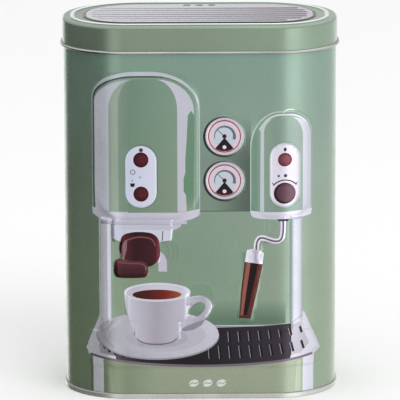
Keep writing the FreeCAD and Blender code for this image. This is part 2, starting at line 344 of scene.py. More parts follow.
def draw_right_housing():
    draw(arch(24.4, 54.9, 94, 144.9, (14.5, 18), (11, 12)), plain(176, 194, 186))
    body = across((24.7, (106, 134, 116)), (28, (122, 148, 132)), (32, (136, 157, 142)),
                  (38, (128, 148, 135)), (44, (136, 155, 145)), (50, (144, 160, 152)))
    draw(arch(24.9, 54.7, 94, 144.1, (14, 18), (11, 12)), body)
    rim = across((24, (126, 152, 136)), (30, (196, 208, 206)), (40, (208, 219, 216)), (54, (226, 230, 234)))
    draw(stroke(arc(39.4, 127.5, 12.2, 15.6, 150, 90, 8) + arc(43.9, 132, 9.9, 11.1, 90, 10, 8), 0.8), rim)
    draw(arch(28.4, 40, 94.6, 141.3, (9.5, 7), (1, 1)), plain(190, 199, 203))
    draw(arch(43, 54.2, 94.6, 141.6, (1, 1), (9.5, 9)), plain(196, 197, 209))
    draw(arch(31.2, 50.1, 94.6, 141.7, (7, 7.5), (6, 10)), body)
    draw([(28.2, 94.6), (29.2, 94.6), (29.5, 135), (28.2, 136.5)], plain(128, 154, 138))
    # A painted highlight where light catches the housing's pressed top edge.
    draw(stroke(arc(44, 137.2, 6, 8.4, 125, 70, 6), 0.8, 0.4), plain(204, 214, 210))
    draw([(54.9, 95), (50.2, 94.9), (40, 94.4), (30, 94.5), (24.5, 95.2), (24.8, 93), (25.9, 91.8),
          (29, 91.1), (35, 90.7), (45, 90.8), (50.3, 91.4), (54.4, 92.1)], plain(210, 208, 222))


def draw_right_controls():
    draw(pill(41.4, 7.5, 96.7, 129.2), plain(178, 192, 190))
    plate = across((34, (226, 222, 236)), (42, (208, 205, 217)), (48, (206, 203, 214)))
    draw(pill(41.35, 7.0, 97.2, 128.8), plate)
    draw_button(*RIGHT_BUTTON, 3.4, (94, 48, 58), (110, 58, 68), (122, 68, 78))
    draw(ellipse(41.4, 103.7, 5.5), plain(226, 218, 228))
    draw(ellipse(41.2, 103.9, 5.3), plain(46, 20, 30))
    draw(ellipse(41.8, 104.1, 4.6), across((37.5, (84, 50, 60)), (42, (100, 70, 80)), (46, (110, 84, 95))))
    ticks = plain(54, 50, 60)
    draw(ellipse(41.4, 125.8, 0.75, 1.0, 12), ticks)
    draw(ellipse(38.3, 112.6, 0.6, steps=10), ticks)
    draw(ellipse(41.6, 112.7, 0.85, steps=12), ticks)
    draw(stroke(arc(41.3, 103.2, 7.3, 7.3, 140, 40, 12), 0.6), ticks)
    for side in (-1, 1):
        draw(stroke([(41.3 + side * 5.2, 108.1), (41.3 + side * 6.1, 109.3)], 0.4), ticks)


def draw_pillars():
    # The left pillar's inks are lighter than the right pillar's: painted light that makes up for the shade at
    # the tin's left corner.
    draw(strip(-50.1, -49.5, 36, 91), plain(225, 230, 226))
    draw(strip(-49.3, -44.2, 36, 90.3), across((-49, (222, 222, 232)), (-44.2, (196, 196, 208))))
    draw(strip(-44.2, -42.6, 36, 82), plain(136, 154, 138))
    draw(strip(44.8, 49.5, 36, 91), plain(190, 192, 203))
    draw(strip(49.5, 50.2, 36, 91.4), plain(168, 176, 178))
    draw(strip(41.8, 44.8, 36, 90.6), plain(138, 158, 145))


def draw_plinth():
    sag = tray_edge(-0.2, 240.5, 300, 20)
    draw([(-54.6, 2.6), (56.4, 2.6), (56.4, 23)] + sag[::-1] + [(-54.6, 23)], PLINTH)
    # The left strip is lighter than the right one: painted light that makes up for the shade at the tin's
    # left corner.
    for left, right, shade in ((-53.4, -48.3, (226, 227, 234)), (50.4, 55.8, (206, 207, 218))):
        draw(strip(left, right, 2.6, 22), plain(*shade))
    draw(strip(-54.6, -54.0, 2.6, 20), plain(98, 112, 88))
    draw([(-46, 3), (-43.5, 3), (-44.4, 16), (-46.4, 17)], plain(146, 158, 134))
    draw([(46.5, 3), (49.6, 3), (49.6, 19), (47.4, 18)], plain(168, 178, 158))


def draw_beans():
    """Three coffee beans in a row as a plain ornament on the plinth."""
    ink = plain(216, 222, 216)
    tilt_cos, tilt_sin = 0.94, 0.34
    for place in (-3.6, 3.2, 10):
        outline = [(place + u * tilt_cos - v * tilt_sin, 7.7 + u * tilt_sin + v * tilt_cos)
                   for u, v in ellipse(0, 0, 2.5, 1.75, 22)]
        draw(outline, ink)
        seam = smooth([(place - 2.2, 6.9), (place - 0.8, 7.9), (place + 0.8, 7.5), (place + 2.2, 8.5)], False)
        draw(stroke(seam, 0.5), PLINTH)


def tray_edge(inset, start, end, steps=16):
    """The tray's front edge, a flat bow, drawn further up by inset."""
    return arc(1, 52.8, 110, 36.5 - inset, start, end, steps)


def draw_tray_slots(first, pitch, last, top, foot, slant):
    """One row of slots, which rises and leans more and more to the right."""
    for index in range(last + 1):
        x = first + pitch * index
        rise = 0.0016 * max(x - 10, 0) ** 2
        lean = slant * (0.4 + 0.6 * index / last)
        ends = [(x, top + rise * 0.7), (x + lean, foot + rise * 1.7)]
        pale = [(x - 0.65, top + rise * 0.7 - 0.2), (x + lean - 0.65, foot + rise * 1.7)]
        draw(stroke(pale, 0.4), plain(146, 138, 152))
        draw(stroke(ends, 1.05), plain(18, 16, 20))


def draw_tray():
    silver = across((-58, (232, 232, 234)), (-46, (204, 204, 212)), (-36, (172, 170, 180)),
                    (36, (182, 180, 190)), (56, (198, 196, 208)))
    back = [(51.6, 42.2), (50.4, 43.6), (49.6, 39.8), (45, 38), (30, 37.2), (8.8, 36.5), (-20, 36.5),
            (-43.6, 37.6), (-48.6, 41.6), (-50, 42.4)]
    draw([(-57, 24.2), (-55.8, 22.4)] + tray_edge(0, 239, 300) + [(56.8, 21.8), (59.2, 23.6)] + back, silver)
    lip = across((-55, (224, 225, 232)), (-46, (200, 200, 210)), (50, (196, 195, 206)),
                 (58, (212, 212, 222)))
    draw([(-55.4, 25), (-54.4, 23.6)] + tray_edge(1.6, 240, 299)
         + [(55.4, 23.6), (57.4, 25), (50.8, 40), (45, 37.4), (-43.6, 37), (-49, 40.4)], lip)
    sides = across((-50, (176, 176, 184)), (-42, (112, 108, 116)), (-36, (92, 88, 96)),
                   (38, (104, 98, 108)), (43, (168, 165, 176)), (53, (176, 173, 184)))
    draw([(-50.4, 26.6)] + tray_edge(2.6, 242.5, 296)
         + [(53.4, 27), (48.6, 38.6), (44.6, 37), (-43.6, 36.4), (-46.4, 37.6)], sides)
    dark = across((-44, (84, 78, 84)), (-30, (38, 33, 38)), (-5, (26, 22, 27)), (24, (44, 38, 46)),
                  (44, (54, 48, 56)))
    draw([(-43, 24)] + tray_edge(0.9, 247, 293)
         + [(44.6, 22), (44.6, 37.8), (30, 37), (8.8, 36.4), (-20, 35.8)], dark)
    draw(stroke([(6, 36.2), (30, 36.9), (44.8, 38.2), (50.2, 41.8)], 0.45), plain(150, 160, 158))
    draw(stroke(tray_edge(0.3, 239.5, 299.5), 1.2), plain(118, 104, 120))
    draw_tray_slots(first=13.9, pitch=5.0, last=7, top=34.2, foot=28.6, slant=0.9)
    draw_tray_slots(first=4.1, pitch=5.05, last=9, top=27.0, foot=20.2, slant=1.3)
    for x, z in ((-48.4, 27.2), (-46.2, 25.4), (-43.4, 24.4), (-39.4, 23)):
        draw(stroke([(x, z), (x + 1.2, z - 2)], 1.1), plain(34, 30, 36))


def draw_ghosts():
    """The faint reflections of the cup, the steam wand and the filter in the shiny panel behind them."""
    soft = plain(136, 160, 142)
    draw(smooth([(-8, 56), (-2, 58.6), (4, 57.6), (6.4, 52), (2, 49), (-5, 52)]), plain(122, 148, 126))
    draw(stroke(smooth([(-7, 57.2), (0, 58.9), (4.6, 57.4), (6.6, 53)], False), 0.4), soft)
    draw(stroke(smooth([(9.5, 53), (13.6, 52), (15.4, 48), (13.6, 42), (9, 38)], False), 0.4), soft)
    draw([(14.4, 74), (16.6, 75), (18, 75), (18, 80), (16.6, 80), (16.6, 75.6), (14.4, 74.4), (14, 58),
          (14.9, 58)], soft)
    draw([(22, 74.4), (22.4, 62), (20.4, 62), (20.4, 74.4)], plain(116, 142, 122))
    for x in (31.3, 33.9):
        draw(stroke([(x, 90), (x + 0.1, 84.6)], 0.4), plain(152, 172, 156))
    for x in (-17.2, -14.6, -12.6):
        draw(stroke(smooth([(x, 79), (x + 1.4, 75), (x + 0.6, 71)], False), 0.7), plain(114, 143, 121))
    shade = faded(plain(98, 122, 104), WALL, 40, 50)
    draw([(-6, 36.2), (8.8, 36.2), (44.6, 38.2), (44.6, 50), (-6, 50)], shade)


def draw_filter():
    draw([(-20, 74.7), (-18.2, 73.4), (-16.8, 70.4), (-16.6, 64.6), (-20.9, 64.7), (-20.9, 70)],
         plain(196, 188, 204))
    upper = smooth([(-39.8, 74.6), (-39.5, 80), (-37.8, 83.4), (-32, 84.8), (-24.6, 84.2), (-21, 81.4),
                    (-20, 76), (-20.5, 71.2), (-24.4, 67.6), (-33, 67)])
    draw(upper, across((-40, (66, 20, 28)), (-37, (76, 26, 34)), (-32, (44, 14, 20)), (-24, (60, 20, 28)),
                       (-20, (92, 30, 40))))
    gleam = smooth([(-36.6, 80.6), (-31.1, 82.2), (-24.6, 81.4), (-22.2, 77.6)], False)
    draw(stroke(gleam, 0.6), plain(132, 74, 82))
    draw([(-39.2, 72), (-38.8, 77.6), (-37.2, 80.8), (-36.2, 80.4), (-36.4, 76), (-37.6, 71.6)],
         plain(132, 98, 104))
    lower = smooth([(-42.6, 67.6), (-41.6, 70.8), (-38, 71.2), (-35, 70.2), (-27.6, 69.6), (-25.9, 66.6),
                    (-26.4, 62.9), (-29, 61.6), (-39.4, 61.5), (-42, 62.4), (-42.8, 64.8)])
    draw(lower, upward((61, (48, 18, 24)), (66, (66, 28, 34)), (69.5, (86, 44, 50)), (71, (104, 64, 70))))
    draw(stroke(smooth([(-41, 69.6), (-36, 69), (-28.4, 68.4), (-27, 65.6)], False), 0.5), plain(120, 74, 80))


def draw_wand():
    draw([(37.8, 90.8), (38.6, 89.6), (42.9, 89.6), (43.7, 90.8)], plain(52, 48, 56))
    pipe = smooth([(40.6, 89.8), (40.5, 84.4), (39.4, 80.6), (36.4, 79.8), (30.8, 81.4), (28.6, 80.9),
                   (27.5, 78.2), (27.5, 74)], False, 5)
    draw(stroke(pipe, 3.1), plain(150, 150, 158))
    draw(stroke(pipe, 2.6), plain(226, 224, 236))
    draw(stroke(pipe, 0.9), plain(104, 92, 108))
    draw([(22.8, 75.4), (26, 76), (29.6, 74.9), (31.2, 73.7), (30.4, 68.2), (21.8, 69.4)],
         across((22, (236, 238, 248)), (25.6, (214, 212, 226)), (27, (172, 164, 184)), (30, (232, 234, 244))))
    handle = [(21.6, 69.5), (30.6, 68.2), (28.1, 56.2), (24.6, 41), (18.8, 41.3), (20.3, 58.5)]
    draw(handle, plain(88, 40, 38))
    draw([(21.6, 69.5), (23, 69.3), (20.6, 52), (19.6, 42.4), (18.8, 41.3), (20.3, 58.5)], plain(72, 32, 30))
    draw([(22.2, 69.4), (24.6, 69), (22.2, 52), (20.8, 42.4), (19.5, 42.4), (20.9, 58.5)], plain(146, 86, 74))
    draw([(24.6, 69), (28.2, 68.5), (25.4, 55), (22.6, 42.4), (20.8, 42.6), (22.4, 54)], plain(26, 13, 14))
    draw([(18.8, 42), (24.7, 41.7), (24.5, 40.7), (18.7, 41)], plain(78, 34, 38))


def draw_saucer():
    draw(ellipse(-21.4, 31.9, 30.4, 12.1, 44), plain(150, 150, 158))
    draw(ellipse(-21.4, 32.7, 30.2, 12, 44),
         across((-51, (182, 181, 191)), (-36, (170, 170, 178)), (-20, (188, 186, 198)), (8, (196, 194, 207))))
    draw(ellipse(-21.6, 32.2, 24, 8.4, 36), across((-45, (164, 165, 170)), (-34, (178, 177, 188)),
                                                    (0, (184, 182, 194))))
    draw(ellipse(-21.8, 30.9, 15.4, 5.2, 28), plain(172, 170, 182))


def draw_cup():
    handle = smooth([(-6, 50.9), (-2, 52.4), (1.9, 51.8), (4.9, 49.3), (5.4, 46.2), (3.4, 42.2), (-0.9, 39),
                     (-9, 36.7), (-8, 39.6), (-2.1, 41.7), (1.2, 44.4), (2.2, 47.2), (0.3, 49.2),
                     (-2.8, 48.3), (-6.2, 45.8)])
    draw(handle, across((-8, (190, 188, 200)), (2, (170, 168, 180)), (5, (206, 204, 216))))
    draw([(-10, 35.4), (-8.6, 34.3), (-4, 35), (0, 37.2), (2.4, 40.4), (-1.4, 39.2), (-6, 37.4)],
         plain(140, 136, 150))
    body = ([(-37.9, 54.4)] + smooth([(-37.9, 54.4), (-37, 46.1), (-34.7, 38.3), (-31.6, 31.2)], False)[1:]
            + arc(-21.8, 31.2, 9.6, 3.4, 180, 360, 12)
            + smooth([(-12.1, 31.4), (-8.7, 38.2), (-6.1, 46), (-5.1, 54.2)], False)[1:])
    draw(body, across((-38, (202, 200, 213)), (-33, (190, 188, 201)), (-22, (166, 160, 172)),
                      (-12, (184, 180, 194)), (-5, (196, 193, 207))))
    draw(stroke(arc(-21.8, 31.3, 9.8, 3.5, 188, 352, 14), 0.6), plain(112, 106, 116))
    draw(ellipse(-21.5, 54.3, 16.4, 4.7, 40), plain(214, 212, 224))
    draw(ellipse(*CUP_MOUTH, 15.2, 3.9, 36), across((-37, (182, 180, 192)), (-20, (206, 204, 216)),
                                                   (-6, (196, 194, 206))))
    coffee = across((-34, (60, 16, 16)), (-27, (70, 20, 16)), (-18, (112, 34, 22)), (-10, (152, 78, 52)))
    draw(ellipse(-21.7, 53.1, 12.1, 2.5, 32), coffee)


draw_ghosts()
draw_middle()
draw_left_housing()
draw_pillars()
draw_left_foot()
draw_left_controls()
draw_right_housing()
draw_right_controls()
draw_plinth()
draw_tray()
draw_beans()
draw_filter()
draw_wand()
draw_saucer()
draw_cup()


# ---------------- the pressed relief

def boss_box(left, right, low, high, corner, height, slope):
    """A raised panel with round corners; its edge slopes inwards over slope."""
    def rise(x, z):
        past_x = np.abs(x - (left + right) / 2) - ((right - left) / 2 - corner)
        past_z = np.abs(z - (low + high) / 2) - ((high - low) / 2 - corner)
        outside = np.hypot(np.maximum(past_x, 0), np.maximum(past_z, 0))
        inside = np.minimum(np.maximum(past_x, past_z), 0)
        return height * ease((corner - outside - inside) / slope)
    return rise


def boss_ellipse(cx, cz, rx, rz, height, slope):
    def rise(x, z):
        reach = np.hypot((x - cx) / rx, (z - cz) / rz)
        return height * ease((1 - reach) * min(rx, rz) / slope)
    return rise


def boss_line(points, radius, height, slope):
    def rise(x, z):
        nearest = np.full(np.shape(x), 1e9)
        for (x1, z1), (x2, z2) in zip(points, points[1:]):
            run_x, run_z = x2 - x1, z2 - z1
            share = np.clip(((x - x1) * run_x + (z - z1) * run_z) / (run_x**2 + run_z**2), 0, 1)
            nearest = np.minimum(nearest, np.hypot(x - x1 - share * run_x, z - z1 - share * run_z))
        return height * ease((radius - nearest) / slope)
    return rise


# The raised shapes, of which the highest counts at each place.
BOSSES = [
    boss_box(-53.8, 0.4, 89.5, 165.2, 15, 0.55, 3.5),  # the left housing
    boss_box(24.1, 55.4, 90.4, 145.4, 11, 0.5, 3),  # the right housing
    boss_box(-44, -13.4, 79, 92, 3, 0.4, 1.5),  # the left housing's foot
    boss_box(-50, -43.6, 30, 92, 1, 0.3, 1.5),  # the left pillar
    boss_box(44.2, 50.4, 30, 92, 1, 0.3, 1.5),  # the right pillar
    boss_box(-40.4, -19.6, 66.6, 85.4, 5.5, 0.65, 2.2),  # the filter
    boss_box(-43.2, -25.4, 61, 71.6, 3.6, 0.6, 2.2),  # the filter's handle
    *(boss_ellipse(GAUGE_X, height, 10.6, 10.6, 0.45, 1.2) for height in GAUGE_HEIGHTS),
    boss_box(-57, 59, 15.4, 35, 4, 0.28, 2),  # the tray
    boss_ellipse(-21.4, 32.5, 31, 12.8, 0.35, 2.5),  # the saucer
    boss_box(-38.4, -4.6, 36, 59.2, 8, 0.75, 4),  # the cup
    boss_box(-34.6, -8.4, 25.6, 50, 7, 0.75, 3),  # the cup's foot
    boss_line([(-6, 49.5), (0.5, 50.6), (3.8, 47), (1, 42), (-7, 38.4)], 2.6, 0.5, 1.6),  # the cup's handle
    boss_line([(26, 68), (21.8, 42)], 4.9, 0.6, 2.4),  # the wand's grip
    boss_line([(40.6, 90), (40.4, 81), (30, 81), (27.3, 73)], 2.2, 0.4, 1.4),  # the wand's pipe
]

# Shapes that are added to those, or pressed back into them.
DETAILS = [
    boss_box(-37.2, -21.0, 96.6, 128.9, 7.8, 0.22, 1.2),  # the left plate of buttons
    boss_box(34.0, 48.8, 96.6, 129.4, 7.2, 0.22, 1.2),  # the right plate of buttons
    *(boss_ellipse(LEFT_BUTTON_X, height, 4.2, 4.2, 0.28, 1.6) for height in LEFT_BUTTON_HEIGHTS),
    boss_ellipse(*RIGHT_BUTTON, 3.8, 3.8, 0.28, 1.6),
    boss_ellipse(41.3, 103.8, 5.7, 5.7, 0.32, 2.2),  # the knob
    *(boss_ellipse(GAUGE_X, height, 8.6, 8.6, -0.2, 0.8) for height in GAUGE_HEIGHTS),
    boss_ellipse(*CUP_MOUTH, 15, 4.0, -0.3, 1.6),
]


def relief(x, z):
    """How far the pressed picture stands out of the wall."""
    raised = np.maximum.reduce([boss(x, z) for boss in BOSSES])
    return raised + sum(detail(x, z) for detail in DETAILS)


# ---------------- mesh building

def linear(colour):
    """An sRGB colour of 0 to 255 as linear light."""
    share = np.clip(np.array(colour, float) / 255, 0, 1)
    return np.where(share <= 0.04045, share / 12.92, ((share + 0.055) / 1.055) ** 2.4)


INK_LIMIT = 0.97

# Which of a piece's materials a face takes.
PRINTED = 0
BARE = 1
INNER = 2


def add_object(name, data):
    made = bpy.data.objects.new(name, data)
    bpy.context.scene.collection.objects.link(made)
    return made


class Skin:
    """Collects one piece's points, faces and inks, and shares the points that coincide."""

    def __init__(self):
        self.points = []
        self.normals = []
        self.places = {}
        self.faces = []
        self.inks = []
        self.slots = []

    def point(self, place, normal):
        key = tuple(round(value, 4) for value in place)
        if key not in self.places:
            self.places[key] = len(self.points)
            self.points.append(place)
            self.normals.append(normal)
        return self.places[key]

    def face(self, corners, inks, slot=PRINTED):
        kept = [i for i, corner in enumerate(corners) if corner != corners[i - 1]]
        if len(kept) < 3:
            return
        self.faces.append([corners[i] for i in kept])
        self.inks += [inks[i] for i in kept]
        self.slots.append(slot)

    def build(self, name, materials):
        mesh = bpy.data.meshes.new(name)
        mesh.from_pydata([Vector(p) * MM for p in self.points], [], self.faces)
        for material in materials:
            mesh.materials.append(material)
        mesh.polygons.foreach_set("material_index", self.slots)
        mesh.polygons.foreach_set("use_smooth", [True] * len(mesh.polygons))
        ink = mesh.color_attributes.new("ink", "FLOAT_COLOR", "CORNER")
        colours = np.ones((len(self.inks), 4))
        colours[:, :3] = np.minimum(linear(self.inks), INK_LIMIT)
        ink.data.foreach_set("color", colours.ravel())
        mesh.normals_split_custom_set_from_vertices([Vector(n).normalized() for n in self.normals])
        return add_object(name, mesh)


def swept_point(skin, s, reach, z, out, up):
    """The point at s along the outline, reach outside the wall, whose normal leans out and up."""
    x, y, out_x, out_y = plan(s)
    return skin.point((x + reach * out_x, y + reach * out_y, z), (out * out_x, out * out_y, up))


def sweep(skin, profile, ink, slot=PRINTED):
    """Carries a profile of (reach, height) points round the tin; its left side is the outside."""
    line = np.array(profile, float)
    ways = np.gradient(line, axis=0)
    ways /= np.linalg.norm(ways, axis=1)[:, None]
    rows = []
    for (reach, z), (way_reach, way_z) in zip(line, ways):
        rows.append([swept_point(skin, s, reach, z, way_z, -way_reach) for s in all_columns])
    inks = [[ink(plan(s)[0], reach, z) for s in all_columns] for reach, z in line]
    for row in range(len(rows) - 1):
        for column in range(len(all_columns) - 1):
            spots = [(row, column), (row, column + 1), (row + 1, column + 1), (row + 1, column)]
            skin.face([rows[a][b] for a, b in spots], [inks[a][b] for a, b in spots], slot)


# The wall's front panel, which carries the picture, and the steps of the meshes' columns and rows.
# PROBE is how far to each side a slope is measured; points within CUT_NEARNESS count as one.
PANEL_EDGE = 66.0
PANEL_TOP = 183.0
PANEL_STEP = 1.5
SIDE_STEP = 2.5
LOCK_EDGE = 3.2
PROBE = 0.05
CUT_NEARNESS = 1e-4
panel_columns = np.linspace(-PANEL_EDGE, PANEL_EDGE, round(2 * PANEL_EDGE / PANEL_STEP) + 1)
# How far from the back's middle the columns over the lock seam lie, where they are closer together.
lock_offsets = [0, 1.2, 1.6, 1.8, 2.0, 2.2, 2.5]
side_count = round((HALF_OUTLINE - LOCK_EDGE - PANEL_EDGE) / SIDE_STEP)
right_columns = list(np.linspace(PANEL_EDGE, HALF_OUTLINE - LOCK_EDGE, side_count + 1))
right_columns += [HALF_OUTLINE - offset for offset in lock_offsets[::-1]]
side_columns = right_columns + [-s for s in right_columns[-2::-1]]
all_columns = list(panel_columns) + side_columns[1:]
panel_rows = np.linspace(SEAM_TOP, PANEL_TOP, round((PANEL_TOP - SEAM_TOP) / PANEL_STEP) + 1)


def past_back(s):
    """How far s is from the back's middle, with the sign of its side."""
    return math.copysign(HALF_OUTLINE - abs(s), s)


def lock_seam(s, z, inwards):
    """The lock seam at the back: a fine groove outside, and its folded layers inside."""
    offset = past_back(s)
    ends = float(ease(min(z - SEAM_TOP, PANEL_TOP - z) / LOCK_FADE))
    if inwards:
        return -LOCK_LAYERS * ends * float(ease((LOCK_WIDTH / 2 + 0.2 - abs(offset)) / 0.4))
    return -LOCK_GROOVE * ends * float(ease(1 - abs(offset + LOCK_WIDTH / 2) / 0.5))


def lock_lean(s, z, inwards):
    """How much the lock seam's surface rises across s and across z, over twice PROBE."""
    if HALF_OUTLINE - abs(s) < PROBE:
        return 0.0, 0.0
    around = lock_seam(s + PROBE, z, inwards) - lock_seam(s - PROBE, z, inwards)
    up = lock_seam(s, z + PROBE, inwards) - lock_seam(s, z - PROBE, inwards)
    return around, up


def wall_points(skin, spots, inwards=0.0):
    """Points of the wall at (s, z) spots with its pressed relief, outside or inside the sheet."""
    places = np.array([[plan(s - PROBE)[0], plan(s)[0], plan(s + PROBE)[0]] for s, _ in spots])
    heights = np.array([z for _, z in spots])
    before, here, after = (relief(places[:, k], heights) for k in range(3))
    below, above = (relief(places[:, 1], heights + lift) for lift in (-PROBE, PROBE))
    made = []
    for i, (s, z) in enumerate(spots):
        x, y, out_x, out_y = plan(s)
        front = abs(s) < PANEL_EDGE
        reach = (here[i] if front else lock_seam(s, z, inwards)) - inwards
        around, up = (after[i] - before[i], above[i] - below[i]) if front else lock_lean(s, z, inwards)
        lean_s, lean_z = around / (2 * PROBE), up / (2 * PROBE)
        side = -1 if inwards else 1
        normal = (side * (out_x + lean_s * out_y), side * (out_y - lean_s * out_x), -side * lean_z)
        made.append(skin.point((x + reach * out_x, y + reach * out_y, z), normal))
    return made


def wall_grid(skin, columns, ink, slot=PRINTED, inwards=0.0):
    """A grid of faces over part of the wall, outside or inside the sheet."""
    spots = [(s, z) for z in panel_rows for s in columns]
    points = wall_points(skin, spots, inwards)
    inks = [ink(s, z) for s, z in spots]
    across_count = len(columns)
    for row in range(len(panel_rows) - 1):
        for column in range(across_count - 1):
            first = row * across_count + column
            corners = [first, first + 1, first + 1 + across_count, first + across_count]
            if inwards:
                corners.reverse()
            skin.face([points[i] for i in corners], [inks[i] for i in corners], slot)


def finely(outline):
    """The outline with its long edges cut to the grid's step, so that they follow the relief."""
    points = []
    for (x1, z1), (x2, z2) in zip(outline, outline[1:] + outline[:1]):
        steps = max(1, math.ceil(math.hypot(x2 - x1, z2 - z1) / PANEL_STEP))
        points += [(x1 + (x2 - x1) * k / steps, z1 + (z2 - z1) * k / steps) for k in range(steps)]
    return points


class Sheet:
    """Flat outlines to be cut into triangles, each with its ink and on top of those before it."""

    def __init__(self):
        self.points = []
        self.outlines = []
        self.inks = []

    def scatter(self, places):
        """Adds points that only make the triangles smaller."""
        self.points += [Vector(place) for place in places]

    def add(self, outline, ink):
        first = len(self.points)
        self.points += [Vector(place) for place in outline]
        self.outlines.append(list(range(first, len(self.points))))
        self.inks.append(ink)

    def cut(self):
        """The points, and the triangles with their inks."""
        made, _, triangles, _, _, sources = delaunay_2d_cdt(self.points, [], self.outlines, 1, CUT_NEARNESS)
        inks = [self.inks[max(source, default=0)] for source in sources]
        return made, list(zip(triangles, inks))


def add_picture(skin):
    """The front as one sheet of small faces, cut along every outline of the picture."""
    edge = [(s, SEAM_TOP) for s in panel_columns]
    edge += [(PANEL_EDGE, z) for z in panel_rows[1:]]
    edge += [(s, PANEL_TOP) for s in panel_columns[-2::-1]]
    edge += [(-PANEL_EDGE, z) for z in panel_rows[-2:0:-1]]
    sheet = Sheet()
    sheet.scatter((s, z) for z in panel_rows for s in panel_columns)
    sheet.add(edge, WALL)
    for outline, ink in picture:
        sheet.add([(outline_place(x), z) for x, z in finely(outline)], ink)
    made, triangles = sheet.cut()
    corners = wall_points(skin, made)
    for triangle, ink in triangles:
        inks = [ink(plan(made[i][0])[0], made[i][1]) for i in triangle]
        skin.face([corners[i] for i in triangle], inks)


def side_ink(s, z):
    """The wall's green round the sides and the back, which takes over from the front's."""
    if abs(past_back(s) + LOCK_WIDTH / 2) < LOCK_MARK:
        return LOCK_INK
    share = ease((abs(s) - PANEL_EDGE) / BACK_BLEND)
    x = plan(s)[0]
    return [a * (1 - share) + b * share for a, b in zip(WALL(x, z), BACK(x, z))]


def make_wall(printed, bare, inner):
    skin = Skin()
    add_picture(skin)
    wall_grid(skin, side_columns, side_ink)
    wall_grid(skin, all_columns, UNPRINTED, INNER, SHEET)
    curl_height = MOUTH - MOUTH_CURL
    outside_curl = arc(-MOUTH_CURL, curl_height, MOUTH_CURL, MOUTH_CURL, 0, 270, 14)
    inner_curl = MOUTH_CURL - SHEET
    inside_curl = arc(-MOUTH_CURL, curl_height, inner_curl, inner_curl, 270, 0, 14)
    sweep(skin, [(0, PANEL_TOP)] + outside_curl + inside_curl + [(-SHEET, PANEL_TOP)], UNPRINTED, BARE)
    foot = [(-SHEET, SEAM_TOP), (-SHEET, WALL_FOOT), (0, WALL_FOOT), (0, SEAM_TOP)]
    sweep(skin, foot, UNPRINTED, BARE)
    wall = skin.build("printed_wall", [printed, bare, inner])
    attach(wall, "tin")
    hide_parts("body_wall")


LID_ROUND = 1.5
SKIRT_MIDDLE = 180
RING_REACH = -4.5
RING_HALF_WIDTH = 1.2
# How far to each side of the ring's middle its painted highlight reaches.
RING_HIGHLIGHT_HALF_WIDTH = 1.0
CEILING_REACH = -12
GRILLE_INSET = 10.2
GRILLE_RISE = 0.4
GRILLE_STEP = 2.2
OUTLINE_WIDTH = 1.2
GRILLE_TOP = DECK + GRILLE_RISE
SLOT_PITCH = 6.0
SLOT_RADIUS = 1.6
SLOT_FLOOR = SLOT_RADIUS - 0.55
SLOT_DEPTH = 0.25
SLOT_SLOPE = 0.6
SLOT_MARGIN = 3.6
SLOT_ROWS = [13.5 - SLOT_PITCH * row for row in range(7)]
CUT_STEP = 4

SLOT_INK = across((-58, (140, 140, 148)), (-48, (172, 172, 180)), (-15, (160, 158, 168)),
                  (5, (136, 132, 144)), (20, (86, 80, 92)), (34, (40, 34, 44)), (58, (34, 28, 38)))
GRILLE_INK = across((-58, (206, 206, 212)), (0, (208, 206, 218)), (30, (200, 196, 208)),
                    (58, (196, 188, 202)))
DOT_INK = plain(20, 20, 22)
OUTLINE_INK = (16, 17, 18)
# A painted highlight along the lid's raised ring.
RING_HIGHLIGHT_INK = (226, 232, 232)


def half_width_at(y, reach):
    """Half the plan's width at y, for the plan grown by reach."""
    if y < 0:
        corner = FRONT_CORNER + reach
        past = max((FRONT_CORNER - HALF_DEPTH) - y, 0)
    else:
        corner = BACK_CORNER + reach
        past = max(y - (HALF_DEPTH - BACK_CORNER), 0)
    return HALF_WIDTH + reach - corner + math.sqrt(max(corner**2 - past**2, 0))


# Each slot's y and how far from the middle its round ends are centred.
SLOTS = [(y, half_width_at(y, -GRILLE_INSET - SLOT_MARGIN) - SLOT_RADIUS) for y in SLOT_ROWS]


def grille_height(x, y):
    gap = min(math.hypot(max(abs(x) - end, 0), y - row) for row, end in SLOTS)
    return GRILLE_TOP - SLOT_DEPTH * float(ease((SLOT_RADIUS - gap) / SLOT_SLOPE))


def plan_edge(reach):
    """The plan's outline grown by reach."""
    rim = [plan(s) for s in all_columns[:-1]]
    return [(x + reach * out_x, y + reach * out_y) for x, y, out_x, out_y in rim]


def add_grille(skin):
    """The lid's raised grille: one sheet cut along its slots, which are pressed in."""
    reach = -GRILLE_INSET - OUTLINE_WIDTH
    sheet = Sheet()
    sheet.add(plan_edge(reach), GRILLE_INK)
    for row, end in SLOTS:
        for radius in (SLOT_RADIUS, SLOT_FLOOR):
            slot = arc(end, row, radius, radius, -90, 90, 8) + arc(-end, row, radius, radius, 90, 270, 8)
            cuts = [(x, row - radius) for x in np.arange(-end + CUT_STEP, end - 3, CUT_STEP)]
            sheet.add(slot + cuts, SLOT_INK)
    for x in (-6.2, 0, 6.2):
        sheet.add(ellipse(x, 23.4, 2.1, 2.2, 18), DOT_INK)
    sheet.scatter(
        (x, y) for x in np.arange(-60, 60, GRILLE_STEP) for y in np.arange(-30, 30, GRILLE_STEP)
        if abs(y) < HALF_DEPTH + reach - 1 and abs(x) < half_width_at(y, reach - 1))
    made, triangles = sheet.cut()
    corners = []
    for x, y in made:
        lean_x = (grille_height(x + PROBE, y) - grille_height(x - PROBE, y)) / (2 * PROBE)
        lean_y = (grille_height(x, y + PROBE) - grille_height(x, y - PROBE)) / (2 * PROBE)
        corners.append(skin.point((x, y, grille_height(x, y)), (-lean_x, -lean_y, 1)))
    for triangle, ink in triangles:
        skin.face([corners[i] for i in triangle], [ink(*made[i]) for i in triangle])


